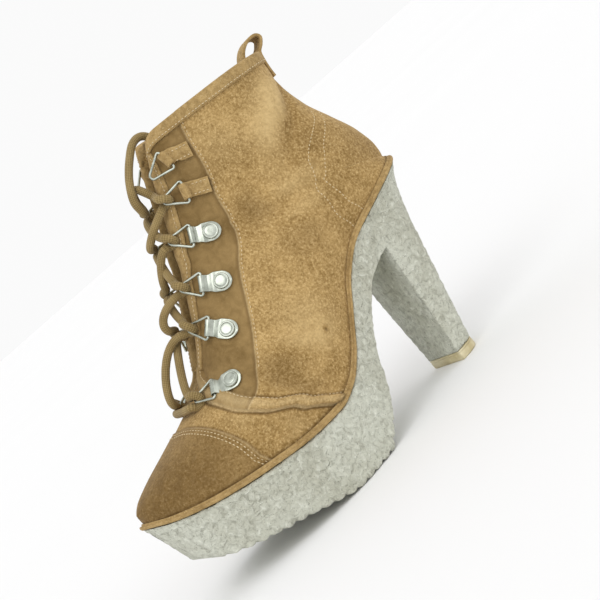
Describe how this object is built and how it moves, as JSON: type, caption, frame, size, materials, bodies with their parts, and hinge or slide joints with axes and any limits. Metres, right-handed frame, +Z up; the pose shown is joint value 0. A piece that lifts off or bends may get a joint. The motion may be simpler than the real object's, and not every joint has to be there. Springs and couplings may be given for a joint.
{
  "type": "lace up platform ankle boot",
  "caption": "Left foot's suede ankle boot with a high block heel, a moulded crepe platform, and a lace that runs through triangular wire rings.",
  "frame": {"origin": "middle of the boot's box, on the floor that it stands on", "axes": "+X from heel to toe, +Y to the outer side of the left foot, +Z up"},
  "size_m": [0.24, 0.0936, 0.2069],
  "materials": {
    "suede": "brushed nap",
    "trim": "brushed nap",
    "facing": "matt",
    "lining": "matt",
    "crepe": "rough crepe",
    "top_lift": "satin",
    "metal": "polished pale nickel",
    "lace": "round braid"
  },
  "bodies": {
    "root": {"sole": "crepe", "heel_top_lift": "top_lift", "welt": "suede", "insole": "lining", "upper": "suede", "tongue": "facing", "collar_binding": "trim", "facing_binding_outer": "trim", "facing_binding_inner": "trim", "pull_loop": "trim", "tab_outer_1": "trim", "tab_outer_2": "trim", "tab_inner_1": "trim", "tab_inner_2": "trim", "plate_outer_3": "metal", "plate_outer_4": "metal", "plate_outer_5": "metal", "plate_outer_6": "metal", "plate_inner_3": "metal", "plate_inner_4": "metal", "plate_inner_5": "metal", "plate_inner_6": "metal", "rivet_outer_3": "metal", "rivet_outer_4": "metal", "rivet_outer_5": "metal", "rivet_outer_6": "metal", "rivet_inner_3": "metal", "rivet_inner_4": "metal", "rivet_inner_5": "metal", "rivet_inner_6": "metal", "ring_outer_1": "metal", "ring_outer_2": "metal", "ring_outer_3": "metal", "ring_outer_4": "metal", "ring_outer_5": "metal", "ring_outer_6": "metal", "ring_inner_1": "metal", "ring_inner_2": "metal", "ring_inner_3": "metal", "ring_inner_4": "metal", "ring_inner_5": "metal", "ring_inner_6": "metal", "lace_crossing_1": "lace", "lace_crossing_2": "lace", "lace_crossing_3_over": "lace", "lace_crossing_3_under": "lace", "lace_crossing_4_over": "lace", "lace_crossing_4_under": "lace", "lace_bar": "lace", "lace_loop": "lace"}
  },
  "joints": []
}
